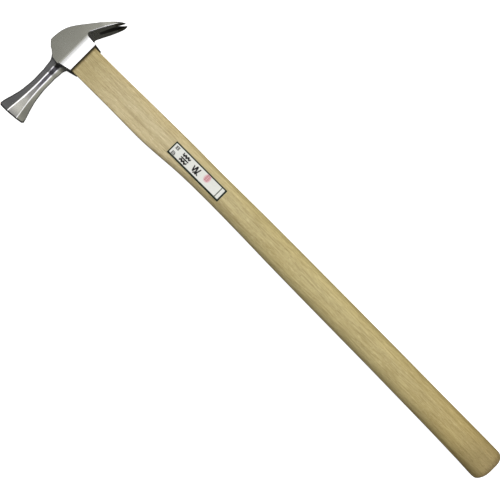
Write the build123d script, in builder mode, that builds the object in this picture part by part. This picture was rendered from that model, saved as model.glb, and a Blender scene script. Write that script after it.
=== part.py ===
"""A carpenter's claw hammer with a long oak handle.

The tool lies on its side.  +X runs along the handle from the head to the
butt, +Y points from the striking poll to the claw, +Z is up through the
cheeks.  The shapes are drawn about the point where the head's long axis
crosses the handle, in the tool's plane of symmetry.  Before export all of
them are moved together, so that the origin is in the middle of the whole
tool's footprint, level with the lower cheek.  Lengths are in millimetres.

Pieces: a one-piece forged head, an oak handle whose shouldered tenon fills
the head's eye, a hardwood wedge that spreads the tenon, two steel wedges
driven across it, and a paper label glued to the handle's upper side.
"""

import math
import os

from build123d import *

os.makedirs("parts", exist_ok=True)

# ---------------------------------------------------------------- dimensions
HEAD_T = 22.6  # across the cheeks
MID_Z = HEAD_T / 2  # height of the tool's plane of symmetry above the lower cheek
EYE_END_X = 12.6  # the head's lower end, where the handle leaves the eye
CHEEK_FLAT_X = 2.9  # the cheeks are flat up to here,
CHEEK_BEND_X = 7.0  # bend softly up to here,
CHEEK_SLOPE = 10.5  # and then lean inwards by this many degrees

CROWN_CORNER = (-13.0, -6.95)  # the sharp corner above the poll
CROWN_CURVE = [
    (-12.9, -1.5),
    (-12.05, 3.6),
    (-10.4, 8.2),
    (-7.75, 12.7),
    (-3.75, 18.05),
    (1.9, 25.2),
    (7.7, 32.3),
    (11.3, 36.5),
]
CLAW_TIP_TOP = (14.5, 40.25)
CLAW_TIP_LOW = (15.03, 40.5)
CLAW_ROOT = (1.6, 14.3)  # the claw's underside is flat from here to the tips
CLAW_ROOT_R = 2.2
BACK_LOW = (EYE_END_X, 13.45)  # the back wall's lower corner
FRONT_LOW = (EYE_END_X, -12.9)  # the front wall's lower corner
FRONT_NOSE_LOW = (2.2, -15.5)  # the blunt nose the neck grows from
FRONT_NOSE_UP = (-3.1, -15.4)
FRONT_SLOPE = (-9.3, -10.75)  # the slope above the poll has a slight kink
FRONT_KINK = (-7.6, -11.5)

TINE_TAPER_Y = 26.5  # the claw starts to narrow here, seen from the crown
TINE_OUTLINE = [(30.0, 10.85), (33.6, 10.1), (37.0, 8.5), (39.1, 6.4)]  # y, half width
TINE_TIP = (40.4, 3.9)
# Half widths of the nail slot: narrow at the crown and at its lip, which lies
# this far down through the claw, then bevelled wide open at the handle side.
SLOT_LIP = 0.62
SLOT_CROWN = [(23.6, 0.65), (33.0, 1.2), (36.5, 1.5), (38.2, 2.08), (43.0, 3.2)]
SLOT_AT_LIP = [(23.0, 0.8), (33.0, 1.3), (36.5, 1.6), (38.2, 2.15), (43.0, 3.2)]
SLOT_BELOW = [(21.6, 2.9), (33.0, 5.4), (36.5, 4.7), (38.2, 3.6), (43.0, 3.6)]

POLL_AXIS_X = -0.45  # where the poll's axis would cross the handle's axis
POLL_TILT = 1.04  # the poll leans towards the handle by this angle
FACE_TILT = 2.9  # the striking face leans a little more
FACE_REACH = 66.3  # from the handle's axis to the striking face
FACE_CHAMFER = 1.1
# (distance from the handle's axis, circumscribed radius) of the octagonal neck
NECK = [
    (12.4, 9.9),
    (13.9, 8.8),
    (15.4, 7.75),
    (17.0, 6.9),
    (19.6, 6.34),
    (23.5, 5.98),
    (28.5, 5.74),
    (33.5, 5.67),
    (38.0, 5.78),
    (42.0, 6.19),
    (46.5, 6.75),
    (50.5, 7.52),
    (54.0, 8.43),
    (57.5, 9.46),
    (60.5, 10.42),
    (63.0, 11.06),
    (65.4, 11.46),
    (68.6, 11.6),
]
RIDGE_R = 2.2  # rounding of the ridges between the neck's facets at the face,
RIDGE_R_WAIST = 3.0  # and where the neck is thinnest

EYE_LOW = (-8.7, 8.9, 13.2)  # y from, y to, width across Z at the lower end
EYE_TOP = (-5.1, 8.1, 11.4)  # the same at the crown
EYE_R = 1.6
EYE_TOP_X = -13.6
TENON_END = ((-12.65, -5.1), (-10.15, 8.1))  # the tenon stops just below the crown

BUTT_X = 436.4
# x, y of the poll-side edge, y of the claw-side edge, thickness, corner radius
HANDLE = [
    (EYE_END_X, -12.3, 11.7, 13.7, 0.9),
    (20.0, -12.27, 11.72, 13.76, 0.95),
    (30.0, -12.23, 11.77, 13.86, 1.05),
    (40.0, -12.15, 11.83, 14.0, 1.15),
    (50.0, -12.18, 11.98, 14.15, 1.3),
    (60.0, -12.32, 12.15, 14.28, 1.5),
    (70.0, -12.45, 12.3, 14.42, 1.8),
    (79.0, -12.5, 12.42, 14.58, 2.2),
    (87.0, -12.25, 12.55, 14.72, 2.7),
    (95.0, -11.75, 12.68, 14.85, 3.3),
    (103.0, -11.12, 12.76, 14.98, 3.9),
    (111.0, -10.47, 12.84, 15.12, 4.5),
    (120.0, -9.97, 12.84, 15.32, 5.1),
    (130.0, -9.62, 12.76, 15.56, 5.6),
    (142.0, -9.5, 12.72, 15.82, 6.0),
    (156.0, -9.5, 12.8, 16.14, 6.4),
    (172.0, -9.72, 12.98, 16.48, 6.8),
    (190.0, -10.1, 13.1, 16.84, 7.1),
    (210.0, -10.6, 13.12, 17.22, 7.4),
    (235.0, -11.05, 13.06, 17.7, 7.7),
    (265.0, -11.42, 12.94, 18.26, 8.1),
    (295.0, -11.72, 12.78, 18.8, 8.4),
    (325.0, -12.12, 12.62, 19.34, 8.7),
    (355.0, -12.65, 12.34, 19.86, 8.9),
    (382.0, -13.1, 12.15, 20.3, 9.15),
    (405.0, -13.72, 12.06, 20.64, 9.3),
    (422.0, -14.38, 11.9, 20.85, 9.4),
    (428.0, -14.72, 11.82, 20.82, 9.5),
    (430.8, -14.74, 11.78, 20.45, 9.5),
    (432.4, -14.38, 11.6, 19.6, 9.2),
    (433.7, -13.15, 11.15, 18.1, 8.6),
    (434.8, -11.3, 10.3, 15.8, 7.6),
    (435.5, -9.0, 9.1, 13.0, 6.3),
    (435.95, -6.4, 7.6, 10.0, 4.8),
    (436.25, -3.6, 5.8, 6.6, 3.2),
    (BUTT_X, -1.2, 4.0, 3.4, 1.65),
]

LABEL_X = (103.2, 155.1)
LABEL_Y = (-4.95, 5.95)
LABEL_T = 0.2

WOOD_WEDGE_T = (2.6, 0.8)  # thickness at the crown and at its tip
WOOD_WEDGE_TIP_X = 3.5
STEEL_WEDGE_Y = (-1.9, 4.9)
STEEL_WEDGE_W = 8.4
STEEL_WEDGE_T = (2.1, 0.5)
STEEL_WEDGE_TIP_X = -1.5


# ---------------------------------------------------------------- the head
# The side profile, seen along Z, pushed through the full width of the head.
with BuildPart() as envelope:
    with BuildSketch(Plane.XY):
        with BuildLine():
            crown = Spline(
                CROWN_CORNER,
                *CROWN_CURVE,
                CLAW_TIP_TOP,
                tangents=[(-0.12, 1.0), (0.8, 1.0)],
            )
            Line(CLAW_TIP_TOP, CLAW_TIP_LOW)
            Polyline(
                CLAW_TIP_LOW,
                CLAW_ROOT,
                BACK_LOW,
                FRONT_LOW,
                FRONT_NOSE_LOW,
                FRONT_NOSE_UP,
                FRONT_KINK,
                FRONT_SLOPE,
                CROWN_CORNER,
            )
        make_face()
    extrude(amount=HEAD_T / 2, both=True)

    # The inner corner under the claw is a generous radius.
    root_edge = envelope.edges().filter_by(Axis.Z).sort_by_distance((*CLAW_ROOT, 0))[0]
    fillet(root_edge, CLAW_ROOT_R)
    for corner, radius in (
        (FRONT_NOSE_LOW, 3.0),
        (FRONT_NOSE_UP, 3.0),
    ):
        edge = envelope.edges().filter_by(Axis.Z).sort_by_distance((*corner, 0))[0]
        fillet(edge, radius)

    # Below the eye's middle both cheeks bend softly inwards.
    lean = math.radians(CHEEK_SLOPE)
    bend_r = (CHEEK_BEND_X - CHEEK_FLAT_X) / math.sin(lean)
    bend_drop = bend_r * (1 - math.cos(lean))
    mid_a = lean / 2
    end_x = 15.0
    end_drop = bend_drop + (end_x - CHEEK_BEND_X) * math.tan(lean)
    for side in (1, -1):
        with BuildSketch(Plane(origin=(0, 14.7, 0), x_dir=(1, 0, 0), z_dir=(0, -1, 0))):
            with BuildLine():
                top = side * HEAD_T / 2
                ThreePointArc(
                    (CHEEK_FLAT_X, top),
                    (
                        CHEEK_FLAT_X + bend_r * math.sin(mid_a),
                        top - side * bend_r * (1 - math.cos(mid_a)),
                    ),
                    (CHEEK_BEND_X, top - side * bend_drop),
                )
                Polyline(
                    (CHEEK_BEND_X, top - side * bend_drop),
                    (end_x, top - side * end_drop),
                    (end_x, top + side * 3),
                    (CHEEK_FLAT_X, top + side * 3),
                    (CHEEK_FLAT_X, top),
                )
            make_face()
        extrude(amount=40, mode=Mode.SUBTRACT)

    # Seen from the crown the claw narrows to its two points.
    with BuildSketch(Plane.YZ):
        with BuildLine():
            Polyline(
                (TINE_TAPER_Y, HEAD_T / 2),
                (TINE_TAPER_Y, 20),
                (-30, 20),
                (-30, -20),
                (TINE_TAPER_Y, -20),
                (TINE_TAPER_Y, -HEAD_T / 2),
            )
            Spline(
                (TINE_TAPER_Y, HEAD_T / 2),
                *TINE_OUTLINE,
                TINE_TIP,
                tangents=[(1.0, 0.0), (0.62, -1.0)],
            )
            Spline(
                (TINE_TAPER_Y, -HEAD_T / 2),
                *[(y, -w) for y, w in TINE_OUTLINE],
                (TINE_TIP[0], -TINE_TIP[1]),
                tangents=[(1.0, 0.0), (0.62, 1.0)],
            )
            Line(TINE_TIP, (TINE_TIP[0], -TINE_TIP[1]))
        make_face()
    extrude(amount=80, both=True, mode=Mode.INTERSECT)

def ridge_radius(radius):
    """The ridges are sharpest at the face and softest at the waist."""
    waist, face = min(r for _, r in NECK), NECK[-1][1]
    return RIDGE_R + (RIDGE_R_WAIST - RIDGE_R) * (face - radius) / (face - waist)


# The octagonal neck, one ridge towards each cheek, flaring to the face.
poll_dir = Vector(math.sin(math.radians(POLL_TILT)), -math.cos(math.radians(POLL_TILT)))
with BuildPart() as neck:
    for distance, radius in NECK:
        centre = poll_dir * distance + Vector(POLL_AXIS_X, 0, 0)
        with BuildSketch(Plane(origin=centre, x_dir=(0, 0, 1), z_dir=poll_dir)):
            RegularPolygon(radius, 8)
            fillet(vertices(), ridge_radius(radius))
    loft()
    # The flat striking face with its chamfered rim.
    face_dir = Vector(
        math.sin(math.radians(FACE_TILT)), -math.cos(math.radians(FACE_TILT))
    )
    face_centre = poll_dir * FACE_REACH + Vector(POLL_AXIS_X, 0, 0)
    rim_r = NECK[-1][1] - 0.2 - FACE_CHAMFER
    for back in (0.0, 90.0):
        with BuildSketch(
            Plane(origin=face_centre - face_dir * back, x_dir=(0, 0, 1), z_dir=face_dir),
            mode=Mode.PRIVATE,
        ) as ring:
            RegularPolygon(rim_r + back, 8)
            fillet(vertices(), 1.2 + back / 20)
        if back == 0.0:
            rim_inner = ring.sketch
        else:
            rim_outer = ring.sketch
    loft([rim_inner.faces()[0], rim_outer.faces()[0]], ruled=True, mode=Mode.INTERSECT)

# The eye, a four-sided hole that narrows a little towards the crown.
with BuildPart() as eye:
    for x, (y0, y1, width) in ((EYE_TOP_X, EYE_TOP), (EYE_END_X + 0.4, EYE_LOW)):
        with BuildSketch(
            Plane(origin=(x, (y0 + y1) / 2, 0), x_dir=(0, 1, 0), z_dir=(1, 0, 0))
        ):
            RectangleRounded(y1 - y0, width, EYE_R)
    loft()

# The nail slot: narrow down to its lip, then a wide bevelled trough.
top_line = Vector(CLAW_TIP_TOP) - Vector(-3.75, 18.05)
low_line = Vector(CLAW_TIP_LOW) - Vector(CLAW_ROOT)
lip_start = Vector(-3.75, 18.05) * (1 - SLOT_LIP) + Vector(4.2, 19.36) * SLOT_LIP
lip_end = Vector(CLAW_TIP_TOP) * (1 - SLOT_LIP) + Vector(CLAW_TIP_LOW) * SLOT_LIP
lip_line = lip_end - lip_start
top_plane = Plane(
    origin=Vector(-3.75, 18.05) + Vector(-1.2, 0.9),
    x_dir=top_line.normalized(),
    z_dir=Vector(0, 0, 1).cross(top_line.normalized()),
)
low_plane = Plane(
    origin=Vector(4.2, 19.36) + Vector(0.35, -0.18),
    x_dir=low_line.normalized(),
    z_dir=Vector(0, 0, 1).cross(low_line.normalized()),
)
lip_plane = Plane(
    origin=lip_start,
    x_dir=lip_line.normalized(),
    z_dir=Vector(0, 0, 1).cross(lip_line.normalized()),
)


def along(plane, y):
    """The distance along the plane's own x at which it reaches that y."""
    return (y - plane.origin.Y) / plane.x_dir.Y


with BuildPart() as slot:
    for plane, widths in (
        (top_plane, SLOT_CROWN),
        (lip_plane, SLOT_AT_LIP),
        (low_plane, SLOT_BELOW),
    ):
        side = [(along(plane, y), w) for y, w in widths]
        with BuildSketch(plane):
            Polygon(*side, *[(a, -w) for a, w in reversed(side)], align=None)
    loft(ruled=True)

with BuildPart() as head:
    add(envelope.part)
    add(neck.part)
    add(slot.part, mode=Mode.SUBTRACT)
    add(eye.part, mode=Mode.SUBTRACT)

# ---------------------------------------------------------------- the handle
(cut_x0, cut_y0), (cut_x1, cut_y1) = TENON_END
end_dir = Vector(cut_x1 - cut_x0, cut_y1 - cut_y0).normalized()
tenon_plane = Plane(
    origin=((cut_x0 + cut_x1) / 2, (cut_y0 + cut_y1) / 2, 0),
    x_dir=(end_dir.X, end_dir.Y, 0),
    z_dir=(end_dir.Y, -end_dir.X, 0),
)


def grip_section(row, grow):
    """A rounded rectangle of the handle, widened by grow on every side."""
    x, y0, y1, thick, radius = row
    with BuildSketch(
        Plane(origin=(x, (y0 + y1) / 2, 0), x_dir=(0, 1, 0), z_dir=(1, 0, 0)),
        mode=Mode.PRIVATE,
    ) as section:
        RectangleRounded(y1 - y0 + 2 * grow, thick + 2 * grow, radius + grow)
    return section.sketch.faces()[0]


with BuildPart() as tenon:
    add(eye.part)
    split(bisect_by=tenon_plane, keep=Keep.TOP)
    split(bisect_by=Plane(origin=(EYE_END_X, 0, 0), z_dir=(1, 0, 0)), keep=Keep.BOTTOM)

with BuildPart() as wood_wedge:
    with BuildSketch(Plane.XZ):
        tip, thick = WOOD_WEDGE_TIP_X, WOOD_WEDGE_T
        Polygon(
            (-14.0, thick[0] / 2),
            (tip, thick[1] / 2),
            (tip, -thick[1] / 2),
            (-14.0, -thick[0] / 2),
            align=None,
        )
    extrude(amount=30, both=True)
    add(tenon.part, mode=Mode.INTERSECT)


def steel_wedge_profile(y):
    """The wedge seen along Z: thick at the crown, thin at its tip."""
    tip, thick = STEEL_WEDGE_TIP_X, STEEL_WEDGE_T
    return [
        (-14.0, y + thick[0] / 2),
        (tip, y + thick[1] / 2),
        (tip, y - thick[1] / 2),
        (-14.0, y - thick[0] / 2),
    ]


with BuildPart() as steel_wedge_front:
    with BuildSketch(Plane.XY):
        Polygon(*steel_wedge_profile(STEEL_WEDGE_Y[0]), align=None)
    extrude(amount=STEEL_WEDGE_W / 2, both=True)
    split(bisect_by=tenon_plane, keep=Keep.TOP)

with BuildPart() as steel_wedge_back:
    with BuildSketch(Plane.XY):
        Polygon(*steel_wedge_profile(STEEL_WEDGE_Y[1]), align=None)
    extrude(amount=STEEL_WEDGE_W / 2, both=True)
    split(bisect_by=tenon_plane, keep=Keep.TOP)

with BuildPart() as grip:
    loft([grip_section(row, 0.0) for row in HANDLE])

with BuildPart() as handle:
    add(grip.part)
    add(tenon.part)
    add(wood_wedge.part, mode=Mode.SUBTRACT)
    add(steel_wedge_front.part, mode=Mode.SUBTRACT)
    add(steel_wedge_back.part, mode=Mode.SUBTRACT)

with BuildPart() as wood_wedge_cut:
    add(wood_wedge.part)
    add(steel_wedge_front.part, mode=Mode.SUBTRACT)
    add(steel_wedge_back.part, mode=Mode.SUBTRACT)

# The label follows the handle's rounded upper side.
with BuildPart() as label:
    loft([grip_section(row, LABEL_T) for row in HANDLE if 60 < row[0] < 200])
    with BuildSketch(Plane.XY):
        with Locations((sum(LABEL_X) / 2, sum(LABEL_Y) / 2)):
            RectangleRounded(LABEL_X[1] - LABEL_X[0], LABEL_Y[1] - LABEL_Y[0], 0.3)
    extrude(amount=30, mode=Mode.INTERSECT)
    add(grip.part, mode=Mode.SUBTRACT)

# ---------------------------------------------------------------- export
# The footprint runs from the crown to the butt and from the face to the tines.
head_box, handle_box = head.part.bounding_box(), handle.part.bounding_box()
centre_x = (head_box.min.X + handle_box.max.X) / 2
centre_y = (head_box.min.Y + head_box.max.Y) / 2
face_point = face_centre + Vector(-centre_x, -centre_y, MID_Z)
print("moved by", -centre_x, -centre_y, MID_Z, "striking face", face_point, face_dir)
for part, name in (
    (head, "head"),
    (handle, "handle"),
    (wood_wedge_cut, "wood_wedge"),
    (steel_wedge_front, "steel_wedge_front"),
    (steel_wedge_back, "steel_wedge_back"),
    (label, "label"),
):
    part.part = part.part.moved(Location((-centre_x, -centre_y, MID_Z)))
    part.part.label = name
    print(name, round(part.part.volume, 2), part.part.is_valid, len(part.part.solids()))
export_step(head.part, "parts/head.step")
export_step(handle.part, "parts/handle.step")
export_step(wood_wedge_cut.part, "parts/wood_wedge.step")
export_step(steel_wedge_front.part, "parts/steel_wedge_front.step")
export_step(steel_wedge_back.part, "parts/steel_wedge_back.step")
export_step(label.part, "parts/label.step")
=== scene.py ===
import math

import bpy
import bmesh
import numpy as np
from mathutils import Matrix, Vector


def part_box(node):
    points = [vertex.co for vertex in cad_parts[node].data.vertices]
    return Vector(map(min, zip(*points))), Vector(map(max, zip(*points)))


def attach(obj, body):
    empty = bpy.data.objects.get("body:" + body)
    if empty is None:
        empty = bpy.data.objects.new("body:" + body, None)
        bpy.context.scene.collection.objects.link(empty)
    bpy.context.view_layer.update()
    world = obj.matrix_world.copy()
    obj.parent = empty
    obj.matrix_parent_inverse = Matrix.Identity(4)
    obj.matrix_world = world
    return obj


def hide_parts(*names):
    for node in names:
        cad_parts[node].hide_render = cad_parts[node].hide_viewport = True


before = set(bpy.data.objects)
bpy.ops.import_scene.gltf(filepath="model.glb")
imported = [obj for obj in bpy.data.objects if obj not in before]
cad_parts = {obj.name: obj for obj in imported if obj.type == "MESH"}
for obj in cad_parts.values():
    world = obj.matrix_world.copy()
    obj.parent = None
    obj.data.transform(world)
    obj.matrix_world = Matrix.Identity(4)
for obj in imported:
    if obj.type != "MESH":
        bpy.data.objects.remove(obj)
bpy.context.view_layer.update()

scene = bpy.context.scene
scene.view_settings.view_transform = "Standard"
scene.view_settings.look = "None"
scene.view_settings.exposure = 0.0
scene.view_settings.gamma = 1.0

head_lo, head_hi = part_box("head")
handle_lo, handle_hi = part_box("handle")
label_lo, label_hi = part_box("label")
MM = 0.001
# Where the head's long axis crosses the handle's axis, in the row frame.
OX = handle_hi[0] - 436.4 * MM
OY = head_hi[1] - 40.4 * MM
OZ = (head_lo[2] + head_hi[2]) / 2


def P(x, y, z=0.0):
    """A point given in millimetres from that crossing, in the row frame."""
    return Vector((OX + x * MM, OY + y * MM, OZ + z * MM))


# ------------------------------------------------------------- node helpers
def new_material(name):
    mat = bpy.data.materials.new(name)
    mat.use_nodes = True
    nt = mat.node_tree
    nt.nodes.clear()
    out = nt.nodes.new("ShaderNodeOutputMaterial")
    bsdf = nt.nodes.new("ShaderNodeBsdfPrincipled")
    nt.links.new(bsdf.outputs[0], out.inputs[0])
    return mat, nt, bsdf


def node(nt, kind, **props):
    n = nt.nodes.new(kind)
    for key, value in props.items():
        setattr(n, key, value)
    return n


def math_node(nt, op, a, b=None, c=None, clamp=False):
    n = node(nt, "ShaderNodeMath", operation=op, use_clamp=clamp)
    for i, v in enumerate((a, b, c)):
        if v is None:
            continue
        if isinstance(v, (int, float)):
            n.inputs[i].default_value = v
        else:
            nt.links.new(v, n.inputs[i])
    return n.outputs[0]


def ramp(nt, fac, stops, interpolation="LINEAR"):
    n = node(nt, "ShaderNodeValToRGB")
    n.color_ramp.interpolation = interpolation
    els = n.color_ramp.elements
    while len(els) > 1:
        els.remove(els[-1])
    els[0].position = stops[0][0]
    els[0].color = (*stops[0][1], 1)
    for pos, col in stops[1:]:
        e = els.new(pos)
        e.color = (*col, 1)
    nt.links.new(fac, n.inputs[0])
    return n.outputs[0]


def mapped(nt, scale, location=(0, 0, 0), rotation=(0, 0, 0)):
    tc = node(nt, "ShaderNodeTexCoord")
    mp = node(nt, "ShaderNodeMapping")
    mp.inputs["Location"].default_value = location
    mp.inputs["Rotation"].default_value = rotation
    mp.inputs["Scale"].default_value = scale
    nt.links.new(tc.outputs["Object"], mp.inputs["Vector"])
    return mp.outputs[0]


def noise(nt, vec, scale, detail=4.0, rough=0.55, distortion=0.0, lac=2.0):
    n = node(nt, "ShaderNodeTexNoise")
    n.inputs["Scale"].default_value = scale
    n.inputs["Detail"].default_value = detail
    n.inputs["Roughness"].default_value = rough
    n.inputs["Distortion"].default_value = distortion
    n.inputs["Lacunarity"].default_value = lac
    nt.links.new(vec, n.inputs["Vector"])
    return n.outputs[0]


def mix(nt, fac, a, b, blend="MIX"):
    n = node(nt, "ShaderNodeMix", data_type="RGBA", blend_type=blend)
    for sock, v in ((n.inputs[0], fac), (n.inputs[6], a), (n.inputs[7], b)):
        if isinstance(v, (int, float)):
            sock.default_value = v
        elif isinstance(v, tuple):
            sock.default_value = (*v, 1)
        else:
            nt.links.new(v, sock)
    return n.outputs[2]


def bump(nt, bsdf, height, strength, distance, chain=None):
    n = node(nt, "ShaderNodeBump")
    n.inputs["Strength"].default_value = strength
    n.inputs["Distance"].default_value = distance
    nt.links.new(height, n.inputs["Height"])
    if chain is not None:
        nt.links.new(chain, n.inputs["Normal"])
    nt.links.new(n.outputs[0], bsdf.inputs["Normal"])
    return n.outputs[0]


def separate(nt, vec):
    n = node(nt, "ShaderNodeSeparateXYZ")
    nt.links.new(vec, n.inputs[0])
    return n.outputs


def local_xyz(nt):
    """Object coordinates as millimetres from the crossing, one socket each."""
    tc = node(nt, "ShaderNodeTexCoord")
    x, y, z = separate(nt, tc.outputs["Object"])
    return (
        math_node(nt, "MULTIPLY_ADD", x, 1000.0, -OX * 1000.0),
        math_node(nt, "MULTIPLY_ADD", y, 1000.0, -OY * 1000.0),
        math_node(nt, "MULTIPLY_ADD", z, 1000.0, -OZ * 1000.0),
    )


def step(nt, v, lo, hi):
    """0 below lo, 1 above hi, smooth between; lo may be the larger one."""
    n = node(nt, "ShaderNodeMapRange", interpolation_type="SMOOTHSTEP")
    n.inputs["From Min"].default_value = min(lo, hi)
    n.inputs["From Max"].default_value = max(lo, hi)
    n.inputs["To Min"].default_value = 0.0 if lo < hi else 1.0
    n.inputs["To Max"].default_value = 1.0 if lo < hi else 0.0
    nt.links.new(v, n.inputs["Value"])
    return n.outputs[0]


# ------------------------------------------------------------------ steel
def steel(name, base=(0.64, 0.64, 0.64), rough=0.13, forged_and_shaded=False):
    mat, nt, bsdf = new_material(name)
    bsdf.inputs["Metallic"].default_value = 1.0
    # broad cloudy variation, fine ground lines and a few stray scratches
    cloud = noise(nt, mapped(nt, (1, 1, 1)), 70, 4)
    lines = noise(nt, mapped(nt, (60, 2500, 2500)), 1.0, 3, 0.6)
    lines2 = noise(nt, mapped(nt, (2500, 60, 2500), location=(3, 1, 0)), 1.0, 3, 0.6)
    scr = noise(nt, mapped(nt, (90, 3600, 900), rotation=(0, 0, 0.6), location=(7, 2, 1)), 1.0, 2, 0.5)
    scratch = step(nt, scr, 0.68, 0.74)
    col = ramp(nt, cloud, [(0.3, tuple(0.94 * c for c in base)), (0.7, base)])
    col = mix(nt, math_node(nt, "MULTIPLY", scratch, 0.25), col, tuple(0.7 * c for c in base))
    if forged_and_shaded:
        # painted shade on the lower end face round the handle, where it meets the wood;
        # the rim round the striking face stays dark, never polished; near-black painted shade in the nail slot
        x, y, z = local_xyz(nt)
        geo = node(nt, "ShaderNodeNewGeometry")
        nx, ny, nz = separate(nt, geo.outputs["Normal"])
        # painted shade: the lower end face darkened to dark olive
        end_shade = math_node(nt, "MULTIPLY", step(nt, nx, 0.42, 0.72), step(nt, x, 11.0, 11.6))
        # painted shade: the nail slot's walls made near-black, as the far tine's inner wall in shadow
        flat_z = separate(nt, geo.outputs["True Normal"])[2]
        slot_shade = math_node(nt, "MULTIPLY", step(nt, math_node(nt, "ABSOLUTE", flat_z), 0.08, 0.16), step(nt, math_node(nt, "ABSOLUTE", z), 6.2, 5.7))
        slot_shade = math_node(nt, "MULTIPLY", slot_shade, step(nt, y, 20.5, 21.5))
        rim = math_node(nt, "MULTIPLY", step(nt, y, -64.0, -64.6), step(nt, ny, -0.35, -0.6))
        face = step(nt, ny, -0.93, -0.985)
        rim = math_node(nt, "MULTIPLY", rim, math_node(nt, "SUBTRACT", 1.0, face))
        shade_and_rim = math_node(nt, "MAXIMUM", end_shade, math_node(nt, "MULTIPLY", rim, 0.8))
        col = mix(nt, math_node(nt, "MULTIPLY", shade_and_rim, 0.92), col, (0.075, 0.07, 0.048))
        col = mix(nt, math_node(nt, "MULTIPLY", slot_shade, 0.97), col, (0.012, 0.012, 0.010))
        shade_and_rim = math_node(nt, "MAXIMUM", shade_and_rim, slot_shade)
    nt.links.new(col, bsdf.inputs["Base Color"])
    r = math_node(nt, "MULTIPLY_ADD", cloud, 0.06, rough - 0.03)
    r = math_node(nt, "MULTIPLY_ADD", lines, 0.05, r)
    r = math_node(nt, "MULTIPLY_ADD", scratch, 0.12, r)
    if forged_and_shaded:
        r = math_node(nt, "MULTIPLY_ADD", shade_and_rim, 0.4, r)
    nt.links.new(r, bsdf.inputs["Roughness"])
    b1 = bump(nt, bsdf, lines, 0.06, 0.00003)
    bump(nt, bsdf, lines2, 0.05, 0.00003, b1)
    return mat


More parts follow.
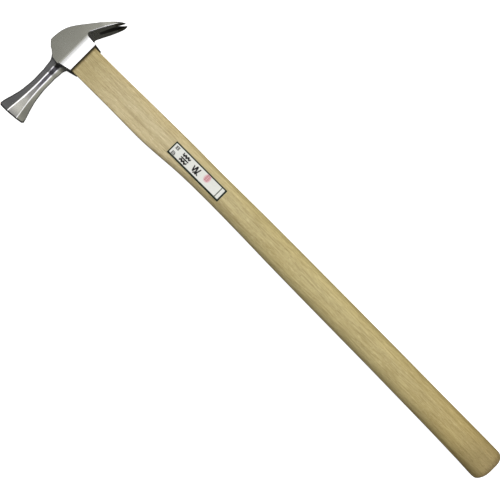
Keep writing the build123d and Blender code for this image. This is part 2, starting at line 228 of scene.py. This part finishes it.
# ------------------------------------------------------------------ oak
def oak(name):
    mat, nt, bsdf = new_material(name)
    tilt = (0, 0, math.radians(0.7))
    # long growth-ring bands, almost parallel to the handle
    wob = noise(nt, mapped(nt, (22, 90, 90)), 1.0, 2, 0.5)
    bands = noise(nt, mapped(nt, (5, 300, 230), rotation=tilt), 1.0, 3, 0.5, 0.5)
    band2 = noise(nt, mapped(nt, (16, 900, 700), rotation=tilt, location=(1, 5, 2)), 1.0, 3, 0.55, 0.3)
    fine = noise(nt, mapped(nt, (45, 1700, 1700), rotation=tilt), 1.0, 4, 0.6)
    pore = noise(nt, mapped(nt, (260, 5200, 5200), rotation=tilt, location=(2, 0, 3)), 1.0, 2, 0.5)
    fleck = noise(nt, mapped(nt, (330, 1150, 900), location=(0, 9, 4)), 1.0, 2, 0.5, 0.6)
    cloud = noise(nt, mapped(nt, (16, 60, 60)), 1.0, 3, 0.5)
    col = ramp(nt, bands, [
        (0.26, OAK_DARK), (0.44, OAK_MID), (0.6, OAK_LIGHT), (0.78, OAK_MID),
    ])
    col = mix(nt, 0.35, col, ramp(nt, band2, [(0.32, OAK_DARK), (0.5, OAK_MID), (0.72, OAK_LIGHT)]))
    col = mix(nt, 0.34, col, ramp(nt, fine, [(0.34, OAK_DARK), (0.52, OAK_LIGHT), (0.8, OAK_FLECK)]))
    col = mix(nt, 0.22, col, ramp(nt, cloud, [(0.3, OAK_DARK), (0.7, OAK_GREY)]))
    col = mix(nt, math_node(nt, "MULTIPLY", step(nt, wob, 0.4, 0.7), 0.16), col, OAK_GREY)
    col = mix(nt, math_node(nt, "MULTIPLY", step(nt, fleck, 0.57, 0.66), 0.38), col, OAK_FLECK)
    col = mix(nt, math_node(nt, "MULTIPLY", step(nt, pore, 0.58, 0.66), 0.55), col, OAK_PORE)
    # short darker and lighter streaks that show from afar
    streak = noise(nt, mapped(nt, (80, 1000, 850), rotation=tilt, location=(4, 2, 7)), 1.0, 3, 0.6, 0.4)
    col = mix(nt, 1.0, col, ramp(nt, streak, [
        (0.30, (0.80, 0.78, 0.74)), (0.47, (0.97, 0.96, 0.95)), (0.56, (1.02, 1.02, 1.03)), (0.72, (1.17, 1.17, 1.22)),
    ]), "MULTIPLY")
    x, y, z = local_xyz(nt)
    # warmer towards the butt and darker there, the darkening painted shade; painted shade where the wood meets the
    # steel
    butt = step(nt, math_node(nt, "MULTIPLY_ADD", cloud, 30.0, x), 300.0, 445.0)
    col = mix(nt, math_node(nt, "MULTIPLY", butt, 0.72), col, (0.78, 0.70, 0.54), "MULTIPLY")
    # a little yellower from the middle of the handle on
    aged = step(nt, math_node(nt, "MULTIPLY_ADD", cloud, 30.0, x), 120.0, 230.0)
    col = mix(nt, aged, col, (0.965, 0.95, 0.83), "MULTIPLY")
    pale = math_node(nt, "MULTIPLY", step(nt, x, 20.0, 45.0), step(nt, x, 140.0, 95.0))
    col = mix(nt, math_node(nt, "MULTIPLY", pale, 0.8), col, (1.11, 1.10, 1.17), "MULTIPLY")
    near = step(nt, math_node(nt, "MULTIPLY_ADD", wob, 10.0, x), 70.0, 14.0)
    col = mix(nt, math_node(nt, "MULTIPLY", near, 0.85), col, (0.86, 0.83, 0.76), "MULTIPLY")
    claw_side = step(nt, y, 2.0, 11.0)
    col = mix(nt, math_node(nt, "MULTIPLY", claw_side, 0.6), col, (1.02, 0.98, 0.86), "MULTIPLY")
    # painted shade: a dark band on the wood right below the head
    seam_shade = step(nt, math_node(nt, "MULTIPLY_ADD", fine, 0.8, x), 15.0, 12.9)
    col = mix(nt, seam_shade, col, (0.42, 0.40, 0.36), "MULTIPLY")
    # painted shade over the last part of the handle, deepest round the rounded butt end
    tail_shade = step(nt, math_node(nt, "MULTIPLY_ADD", cloud, 16.0, x), 402.0, 440.0)
    col = mix(nt, tail_shade, col, (0.77, 0.76, 0.78), "MULTIPLY")
    edge = step(nt, x, 428.5, 434.0)
    col = mix(nt, math_node(nt, "MULTIPLY", edge, 0.8), col, (0.56, 0.52, 0.50), "MULTIPLY")
    # end grain on the tenon's sawn end and on the butt
    geo = node(nt, "ShaderNodeNewGeometry")
    nx, ny, nz = separate(nt, geo.outputs["Normal"])
    endgrain = step(nt, math_node(nt, "ABSOLUTE", nx), 0.72, 0.9)
    endgrain = math_node(nt, "MAXIMUM", endgrain, step(nt, x, -8.0, -9.0))
    ring = node(nt, "ShaderNodeTexWave", wave_type="RINGS", rings_direction="X")
    ring.inputs["Scale"].default_value = 190.0
    ring.inputs["Distortion"].default_value = 1.6
    ring.inputs["Detail"].default_value = 2.0
    nt.links.new(mapped(nt, (1, 1, 1), location=(0, 0.02, 0.03)), ring.inputs["Vector"])
    dots = noise(nt, mapped(nt, (900, 3200, 3200)), 1.0, 2, 0.6)
    eg = ramp(nt, ring.outputs["Fac"], [(0.1, (0.2, 0.135, 0.06)), (0.6, (0.34, 0.25, 0.125))])
    eg = mix(nt, math_node(nt, "MULTIPLY", step(nt, dots, 0.55, 0.66), 0.6), eg, (0.11, 0.07, 0.03))
    col = mix(nt, math_node(nt, "MULTIPLY", endgrain, 0.8), col, eg)
    nt.links.new(col, bsdf.inputs["Base Color"])
    r = math_node(nt, "MULTIPLY_ADD", fine, 0.15, 0.5)
    nt.links.new(r, bsdf.inputs["Roughness"])
    bsdf.inputs["Specular IOR Level"].default_value = 0.25
    b1 = bump(nt, bsdf, fine, 0.22, 0.0001)
    inv = math_node(nt, "SUBTRACT", 1.0, step(nt, pore, 0.6, 0.68))
    bump(nt, bsdf, inv, 0.3, 0.00005, b1)
    return mat


OAK_LIGHT = (0.502, 0.432, 0.241)
OAK_MID = (0.421, 0.355, 0.180)
OAK_DARK = (0.262, 0.205, 0.093)
OAK_GREY = (0.421, 0.379, 0.229)
OAK_FLECK = (0.546, 0.484, 0.294)
OAK_PORE = (0.210, 0.150, 0.070)

mat_steel = steel("forged_steel", forged_and_shaded=True)
mat_oak = oak("white_oak")
mat_wedge_wood, ntw, bw = new_material("wedge_wood")
cw = noise(ntw, mapped(ntw, (300, 900, 900)), 1.0, 4)
ntw.links.new(ramp(ntw, cw, [(0.3, (0.2, 0.11, 0.05)), (0.7, (0.36, 0.22, 0.11))]), bw.inputs["Base Color"])
bw.inputs["Roughness"].default_value = 0.7
bump(ntw, bw, cw, 0.3, 0.0002)
mat_wedge_steel = steel("wedge_steel", base=(0.4, 0.4, 0.41), rough=0.36)

for name, mat in (
    ("head", mat_steel),
    ("handle", mat_oak),
    ("wood_wedge", mat_wedge_wood),
    ("steel_wedge_front", mat_wedge_steel),
    ("steel_wedge_back", mat_wedge_steel),
):
    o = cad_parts[name]
    for i in range(len(o.material_slots)):
        o.material_slots[i].material = mat


# ------------------------------------------------------------- eased head
# The same solid as the CAD head, with its hard edges eased by amounts that
# differ along the tool: widest under the cheeks, least along the nail slot.
def eased_head():
    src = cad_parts["head"]
    bm = bmesh.new()
    bm.from_mesh(src.data)
    bmesh.ops.transform(bm, matrix=src.matrix_world, verts=bm.verts)
    bmesh.ops.remove_doubles(bm, verts=bm.verts, dist=2e-7)
    # merge the short edges round the cheeks, which would trip the bevel
    rim = [v for v in bm.verts if abs(v.co.z - OZ) > 7.6 * MM and v.co.y - OY > -17 * MM]
    bmesh.ops.remove_doubles(bm, verts=rim, dist=0.12 * MM)
    bmesh.ops.dissolve_degenerate(bm, dist=1e-7, edges=bm.edges)
    bmesh.ops.dissolve_limit(bm, angle_limit=0.002, verts=bm.verts, edges=bm.edges)
    bm.normal_update()
    layer = bm.edges.layers.float.new("bevel_weight_edge")
    for e in bm.edges:
        if len(e.link_faces) != 2 or not e.is_convex:
            continue
        n1, n2 = (f.normal for f in e.link_faces)
        ang = n1.angle(n2, 0.0)
        if ang < math.radians(30):
            continue
        mid = (e.verts[0].co + e.verts[1].co) / 2
        x, y, z = (mid.x - OX) / MM, (mid.y - OY) / MM, (mid.z - OZ) / MM
        w = 0.0
        cheek = max(abs(n1.z), abs(n2.z)) > 0.9
        other = n2 if abs(n1.z) > abs(n2.z) else n1
        if cheek and abs(z) > 7.6 and abs(other.z) < 0.5 and y < 36.0:
            if other.x > 0.9 and x > 12.0:
                w = 0.65  # lower end
            elif other.y < -0.3 and y < -11.0 and x > 2.5:
                w = 0.65  # below the cheeks, beside the neck
            elif y > 15.5 and other.x > 0.3:
                w = 0.32  # under the claw
            elif y > 26.5:
                w = 0.0  # along the claw's upper side
            else:
                w = 0.40
            if (
                (1.6 < x < 4.2 and 13.8 < y < 17.0)
                or (1.2 < x < 3.4 and y < -14.8)
            ):
                w = 0.0  # the tight corners stay as they are
        e[layer] = w
    me = bpy.data.meshes.new("head_eased_base")
    bm.to_mesh(me)
    bm.free()
    ob = bpy.data.objects.new("head_eased_base", me)
    scene.collection.objects.link(ob)
    mod = ob.modifiers.new("ease", "BEVEL")
    mod.limit_method = "WEIGHT"
    mod.offset_type = "OFFSET"
    mod.width = 1.0 * MM
    mod.segments = 3
    mod.profile = 0.5
    mod.use_clamp_overlap = False
    mod.miter_outer = "MITER_ARC"
    dg = bpy.context.evaluated_depsgraph_get()
    new = bpy.data.meshes.new_from_object(ob.evaluated_get(dg), depsgraph=dg)
    new.name = "head_steel"
    bpy.data.objects.remove(ob)
    bm = bmesh.new()
    bm.from_mesh(new)
    bmesh.ops.remove_doubles(bm, verts=bm.verts, dist=1e-7)
    bmesh.ops.dissolve_degenerate(bm, dist=1e-7, edges=bm.edges)
    bmesh.ops.delete(bm, geom=[e for e in bm.edges if not e.link_faces], context="EDGES")
    bmesh.ops.delete(bm, geom=[v for v in bm.verts if not v.link_edges], context="VERTS")
    bad = sum(1 for e in bm.edges if len(e.link_faces) != 2)
    print("eased head: faces", len(bm.faces), "open edges", bad)
    for f in bm.faces:
        f.smooth = True
        f.material_index = 0
    bm.to_mesh(new)
    bm.free()
    new.materials.clear()
    new.materials.append(mat_steel)
    new.set_sharp_from_angle(angle=math.radians(14))
    out = bpy.data.objects.new("head_steel", new)
    scene.collection.objects.link(out)
    wn = out.modifiers.new("flat_faces", "WEIGHTED_NORMAL")
    wn.keep_sharp = True
    wn.weight = 50
    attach(out, "root")
    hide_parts("head")
    return out


head_piece = eased_head()

# ------------------------------------------------------------------ label
# x, poll-side edge, claw-side edge, thickness, corner radius of the handle
ROWS = [
    (95.0, -11.75, 12.68, 14.85, 3.3), (103.0, -11.12, 12.76, 14.98, 3.9),
    (111.0, -10.47, 12.84, 15.12, 4.5), (120.0, -9.97, 12.84, 15.32, 5.1),
    (130.0, -9.62, 12.76, 15.56, 5.6), (142.0, -9.5, 12.72, 15.82, 6.0),
    (156.0, -9.5, 12.8, 16.14, 6.4), (172.0, -9.72, 12.98, 16.48, 6.8),
]


def top(x, y):
    """Height of the handle's upper side above the middle plane, mm."""
    y0, y1, th, r = (float(np.interp(x, [q[0] for q in ROWS], [q[i] for q in ROWS])) for i in (1, 2, 3, 4))
    d = max(0.0, y0 + r - y, y - (y1 - r))
    return th / 2 - (r - math.sqrt(max(r * r - d * d, 0.0)))


def L(u, v):
    """A point of the label's print, from layout units to millimetres."""
    return 12.225 + 0.7284 * u, 0.037 + 0.7284 * v


def wall(bm, rings, mi):
    """Closed body from cross-sections given as lists of 4 points."""
    vs = [[bm.verts.new(P(*p)) for p in ring] for ring in rings]
    faces = []
    for a, b in zip(vs, vs[1:]):
        for i in range(4):
            faces.append(bm.faces.new((a[i], a[(i + 1) % 4], b[(i + 1) % 4], b[i])))
    faces.append(bm.faces.new(list(reversed(vs[0]))))
    faces.append(bm.faces.new(vs[-1]))
    for f in faces:
        f.material_index = mi


def stroke(bm, pts, width, z0, z1, mi, taper=0.25):
    """A brush stroke through the points, swelling in its middle."""
    path = []
    for (ax, ay), (bx, by) in zip(pts, pts[1:]):
        n = max(2, int(math.hypot(bx - ax, by - ay) / 0.35))
        path += [(ax + (bx - ax) * i / n, ay + (by - ay) * i / n) for i in range(n)]
    path.append(pts[-1])
    if len(pts) > 2:
        for _ in range(4):
            path = [path[0]] + [
                tuple((path[i - 1][k] + 2 * path[i][k] + path[i + 1][k]) / 4 for k in (0, 1))
                for i in range(1, len(path) - 1)
            ] + [path[-1]]
    rings = []
    m = len(path) - 1
    for i, (x, y) in enumerate(path):
        ax, ay = path[max(i - 1, 0)]
        bx, by = path[min(i + 1, m)]
        ln = math.hypot(bx - ax, by - ay) or 1.0
        nx, ny = -(by - ay) / ln, (bx - ax) / ln
        w = width / 2 * (1 - taper * abs(2 * i / m - 1) ** 2)
        l, r = (x + nx * w, y + ny * w), (x - nx * w, y - ny * w)
        rings.append([
            (*l, top(*l) + z0), (*r, top(*r) + z0), (*r, top(*r) + z1), (*l, top(*l) + z1),
        ])
    wall(bm, rings, mi)


def plate(bm, x0, x1, y0, y1, z0, z1, mi, nx=40, ny=10):
    """A thin closed sheet that follows the handle."""
    grid = {}
    for i in range(nx + 1):
        for j in range(ny + 1):
            x, y = x0 + (x1 - x0) * i / nx, y0 + (y1 - y0) * j / ny
            for k, z in enumerate((z0, z1)):
                grid[i, j, k] = bm.verts.new(P(x, y, top(x, y) + z))
    faces = []
    for i in range(nx):
        for j in range(ny):
            q = [(i, j), (i + 1, j), (i + 1, j + 1), (i, j + 1)]
            faces.append(bm.faces.new([grid[a, b, 1] for a, b in q]))
            faces.append(bm.faces.new([grid[a, b, 0] for a, b in reversed(q)]))
    for i in range(nx):
        for j in (0, ny):
            q = [grid[i, j, 0], grid[i + 1, j, 0], grid[i + 1, j, 1], grid[i, j, 1]]
            faces.append(bm.faces.new(q if j == 0 else q[::-1]))
    for j in range(ny):
        for i in (0, nx):
            q = [grid[i, j, 0], grid[i, j + 1, 0], grid[i, j + 1, 1], grid[i, j, 1]]
            faces.append(bm.faces.new(q[::-1] if i == 0 else q))
    for f in faces:
        f.material_index = mi


def disc(bm, cx, cy, rx, ry, z0, z1, mi, n=40):
    """A thin closed round patch that follows the handle."""
    rows = {}
    for k, z in enumerate((z0, z1)):
        rows["c", k] = bm.verts.new(P(cx, cy, top(cx, cy) + z))
        for ring in (0.5, 1.0):
            for i in range(n):
                a = 2 * math.pi * i / n
                x, y = cx + rx * ring * math.cos(a), cy + ry * ring * math.sin(a)
                rows[ring, i, k] = bm.verts.new(P(x, y, top(x, y) + z))
    for i in range(n):
        j = (i + 1) % n
        for k in (0, 1):
            tri = [rows["c", k], rows[0.5, i, k], rows[0.5, j, k]]
            quad = [rows[0.5, i, k], rows[1.0, i, k], rows[1.0, j, k], rows[0.5, j, k]]
            for f in (tri, quad):
                bm.faces.new(f if k else f[::-1]).material_index = mi
        side = [rows[1.0, i, 0], rows[1.0, j, 0], rows[1.0, j, 1], rows[1.0, i, 1]]
        bm.faces.new(side).material_index = mi


def plain(name, color, rough=0.5, var=0.05, scale=900):
    mat, nt, bsdf = new_material(name)
    n = noise(nt, mapped(nt, (scale, scale, scale)), 1.0, 3)
    nt.links.new(ramp(nt, n, [(0.3, tuple(c * (1 - var) for c in color)), (0.7, tuple(min(1.0, c * (1 + var)) for c in color))]), bsdf.inputs["Base Color"])
    bsdf.inputs["Roughness"].default_value = rough
    bsdf.inputs["Specular IOR Level"].default_value = 0.3
    bump(nt, bsdf, n, 0.1, 0.00003)
    return mat


LABEL_MATS = [
    plain("label_paper", (0.61, 0.62, 0.58), 0.45, 0.03, 600),
    plain("label_border", (0.004, 0.010, 0.003), 0.5, 0.25),
    plain("label_ink", (0.008, 0.008, 0.008), 0.5, 0.3),
    plain("label_ink_thin", (0.06, 0.06, 0.06), 0.5, 0.2),
    plain("label_seal", (0.62, 0.43, 0.44), 0.5, 0.06),
    plain("label_seal_dark", (0.46, 0.17, 0.20), 0.5, 0.1),
    plain("label_line", (0.06, 0.075, 0.06), 0.5, 0.15),
]
bm = bmesh.new()
X0, X1, Y0, Y1 = 103.2, 155.1, -4.95, 5.95
plate(bm, X0, X1, Y0, Y1, -0.01, 0.170, 0)
Z0, Z1 = 0.12, 0.200
for rect in (
    (X0 + 0.02, X1 - 0.02, Y0 + 0.02, Y0 + 1.4), (X0 + 0.02, X1 - 0.02, Y1 - 1.05, Y1 - 0.02),
    (X0 + 0.02, X0 + 1.05, Y0 + 1.4, Y1 - 1.05), (X1 - 1.4, X1 - 0.02, Y0 + 1.4, Y1 - 1.05),
):
    wide = rect[1] - rect[0] > 5
    plate(bm, *rect, Z0, Z1, 1, nx=40 if wide else 3, ny=2 if wide else 12)
lx = L(190.2, 0)[0]
plate(bm, lx - 0.36, lx + 0.36, Y0 + 1.42, Y1 - 1.07, Z0, Z1 - 0.005, 6, nx=2, ny=12)


def marks(items, mi):
    for width, *pts in items:
        stroke(bm, [L(*p) for p in pts], width * 1.5 * 0.7284, Z0, Z1 - 0.002 * (mi - 1), mi)


# Two small hatched blocks, two brushed scribbles and a hatched round seal.
marks([
    (0.55, (128.2, 4.9), (132.8, 5.0)), (0.5, (128.4, 3.6), (132.4, 3.7)), (0.55, (128.3, 2.2), (132.6, 2.1)),
    (0.55, (129.3, 5.2), (129.2, 1.8)), (0.55, (131.9, 5.1), (131.8, 1.9)),
    (0.55, (128.3, -1.5), (131.4, -1.6)), (0.5, (128.5, -2.9), (132.7, -2.8)), (0.55, (128.2, -4.2), (132.9, -4.3)),
    (0.55, (128.9, -1.2), (128.8, -4.4)), (0.6, (131.6, -1.4), (132.3, -4.3)),
], 3)
marks([
    (0.95, (138.6, 5.2), (140.2, 1.4), (141.8, 5.0), (143.4, 1.5), (145.2, 5.2), (146.8, 1.6), (148.2, 4.6)),
    (0.8, (138.0, 3.0), (148.4, 3.3)),
    (1.0, (138.4, 0.0), (148.4, 0.2)),
    (0.95, (139.0, -3.9), (140.6, -0.8), (142.2, -4.1), (144.0, -0.9), (145.8, -4.3), (147.8, -1.2)),
    (0.8, (138.4, -2.4), (148.0, -2.6)),
    (1.15, (154.8, 3.6), (156.4, -2.4), (158.4, 4.8), (160.4, -3.2), (162.6, 4.6)),
    (1.0, (157.6, -3.4), (159.8, -0.6), (163.6, -3.0)),
], 2)
sx, sy = L(172.8, 2.9)
disc(bm, sx, sy, 2.75, 3.35, Z0, 0.178, 4)
marks([
    (0.55, (170.4, 5.6), (175.2, 5.6)), (0.55, (170.0, 3.9), (175.6, 3.9)), (0.55, (169.8, 2.2), (175.8, 2.2)),
    (0.55, (170.2, 0.5), (175.4, 0.5)), (0.5, (171.6, 6.4), (171.6, -0.5)), (0.5, (174.0, 6.4), (174.0, -0.5)),
], 5)
bmesh.ops.recalc_face_normals(bm, faces=bm.faces)
me = bpy.data.meshes.new("label_print")
bm.to_mesh(me)
bm.free()
for mat in LABEL_MATS:
    me.materials.append(mat)
label_piece = bpy.data.objects.new("label_print", me)
scene.collection.objects.link(label_piece)
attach(label_piece, "root")
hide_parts("label")

# ------------------------------------------------------------------ floor
bm = bmesh.new()
vs = [bm.verts.new((x, y, -0.0001)) for x, y in ((-4, -4), (4, -4), (4, 4), (-4, 4))]
bm.faces.new(vs)
me = bpy.data.meshes.new("floor")
bm.to_mesh(me)
bm.free()
floor = bpy.data.objects.new("floor", me)
scene.collection.objects.link(floor)
mat_floor = bpy.data.materials.new("floor_white")
mat_floor.use_nodes = True
nt = mat_floor.node_tree
nt.nodes.clear()
out = nt.nodes.new("ShaderNodeOutputMaterial")
em = nt.nodes.new("ShaderNodeEmission")
em.inputs[0].default_value = (1, 1, 1, 1)
em.inputs[1].default_value = 0.9
df = nt.nodes.new("ShaderNodeBsdfDiffuse")
df.inputs[0].default_value = (0.5, 0.5, 0.5, 1)
ad = nt.nodes.new("ShaderNodeAddShader")
nt.links.new(em.outputs[0], ad.inputs[0])
nt.links.new(df.outputs[0], ad.inputs[1])
nt.links.new(ad.outputs[0], out.inputs[0])
floor.data.materials.append(mat_floor)
floor.visible_glossy = False
floor.visible_diffuse = False

# ------------------------------------------------------------------ light
# A studio drawn on the sky: brightness depends on the angle from straight up
# towards the handle (the keys below, in degrees) and on how far the direction
# leans to the poll or the claw side.
world = bpy.data.worlds.new("studio")
scene.world = world
world.use_nodes = True
nt = world.node_tree
nt.nodes.clear()
wout = nt.nodes.new("ShaderNodeOutputWorld")
bg = nt.nodes.new("ShaderNodeBackground")
nt.links.new(bg.outputs[0], wout.inputs[0])
tc = nt.nodes.new("ShaderNodeTexCoord")
sep = nt.nodes.new("ShaderNodeSeparateXYZ")
nt.links.new(tc.outputs["Generated"], sep.inputs[0])
dx, dy, dz = sep.outputs
ang = math_node(nt, "ARCTAN2", dx, dz)
fac = math_node(nt, "MULTIPLY_ADD", ang, 1 / (2 * math.pi), 0.5)


def sky(stops):
    return ramp(nt, fac, [(a / 360 + 0.5, tuple(v * c for c in tint)) for a, v, tint in stops])


W = (1.0, 1.0, 1.0)
VIO = (1.0, 0.96, 1.12)
OLV = (1.03, 1.02, 0.86)
BGE = (1.03, 1.01, 0.90)
poll_sky = sky([
    (-180, 0.01, W), (-105, 0.05, W), (-80, 0.15, W), (-60, 0.18, W), (-35, 0.13, W), (-15, 0.18, W),
    (-5, 0.28, W), (10, 0.18, OLV), (18, 0.02, W), (26, 0.006, W), (36, 0.012, W), (48, 0.22, W),
    (70, 0.6, W), (85, 0.32, OLV), (110, 0.25, OLV), (130, 0.08, OLV), (150, 0.06, OLV), (180, 0.06, OLV),
])
mid_sky = sky([
    (-180, 0.01, W), (-110, 0.05, W), (-90, 0.14, W), (-65, 0.20, W), (-45, 0.19, VIO), (-31, 0.17, OLV),
    (-22.6, 0.14, OLV), (-21.5, 0.20, OLV), (-20.9, 0.30, OLV), (-20.2, 0.41, OLV), (-18.5, 0.50, OLV),
    (-15, 0.66, OLV), (-11, 0.85, W), (-6, 1.15, W), (-1, 1.8, W), (3, 3.2, W), (9, 3.2, VIO),
    (15, 1.0, VIO), (21, 0.15, VIO), (31, 0.11, VIO), (38, 0.4, VIO), (45, 1.6, VIO), (54, 2.1, W),
    (66, 1.7, W), (78, 0.8, OLV), (92, 0.62, OLV), (112, 0.53, OLV), (126, 0.24, OLV), (142, 0.09, OLV),
    (155, 0.07, OLV), (180, 0.07, OLV),
])
claw_sky = sky([
    (-180, 0.01, W), (-110, 0.05, W), (-90, 0.1, W), (-65, 0.16, W), (-45, 0.16, W), (-32, 0.3, OLV),
    (-20, 0.62, OLV), (-10, 2.0, W), (0, 3.2, W), (10, 2.8, W), (18, 0.95, BGE), (28, 0.70, BGE),
    (40, 0.78, BGE), (48, 1.7, W), (62, 1.6, W), (74, 0.5, OLV), (90, 0.28, OLV), (112, 0.27, OLV),
    (128, 0.20, OLV), (145, 0.06, W), (180, 0.04, W),
])


def span(v, lo, hi):
    n = node(nt, "ShaderNodeMapRange", interpolation_type="LINEAR")
    n.inputs["From Min"].default_value = lo
    n.inputs["From Max"].default_value = hi
    nt.links.new(v, n.inputs["Value"])
    return n.outputs[0]


to_poll = span(dy, -0.07, -0.28)
to_claw = span(dy, -0.02, 0.5)
col = mix(nt, to_claw, mid_sky, claw_sky)
col = mix(nt, to_poll, col, poll_sky)
low = span(dy, -0.5, -0.85)
col = mix(nt, low, col, (0.02, 0.02, 0.02))
nt.links.new(col, bg.inputs[0])
bg.inputs[1].default_value = 1.0


def area(name, loc, target, size, power, color=(1, 1, 1)):
    ld = bpy.data.lights.new(name, "AREA")
    ld.shape = "RECTANGLE"
    ld.size, ld.size_y = size
    ld.energy = power
    ld.color = color
    ob = bpy.data.objects.new(name, ld)
    scene.collection.objects.link(ob)
    ob.location = loc
    ob.rotation_euler = (Vector(target) - Vector(loc)).to_track_quat("-Z", "Y").to_euler()
    return ob


key = area("key", (0.05, 0.42, 1.3), (0, 0, 0), (1.2, 0.9), 9.6)
key.visible_glossy = False
fill = area("fill", (0.0, -0.9, 0.7), (0, 0, 0), (0.9, 0.7), 3.2)
fill.visible_glossy = False

# ------------------------------------------------------------------ camera
cam_data = bpy.data.cameras.new("camera")
cam = bpy.data.objects.new("camera", cam_data)
scene.collection.objects.link(cam)
cam_data.sensor_width = 36
cam_data.lens = 52.6
cam_data.clip_start = 0.01
cam_data.clip_end = 50
cam.location = P(196.87, -12.7, 540.0)
cam.rotation_euler = (0, 0, math.radians(45))
scene.camera = cam
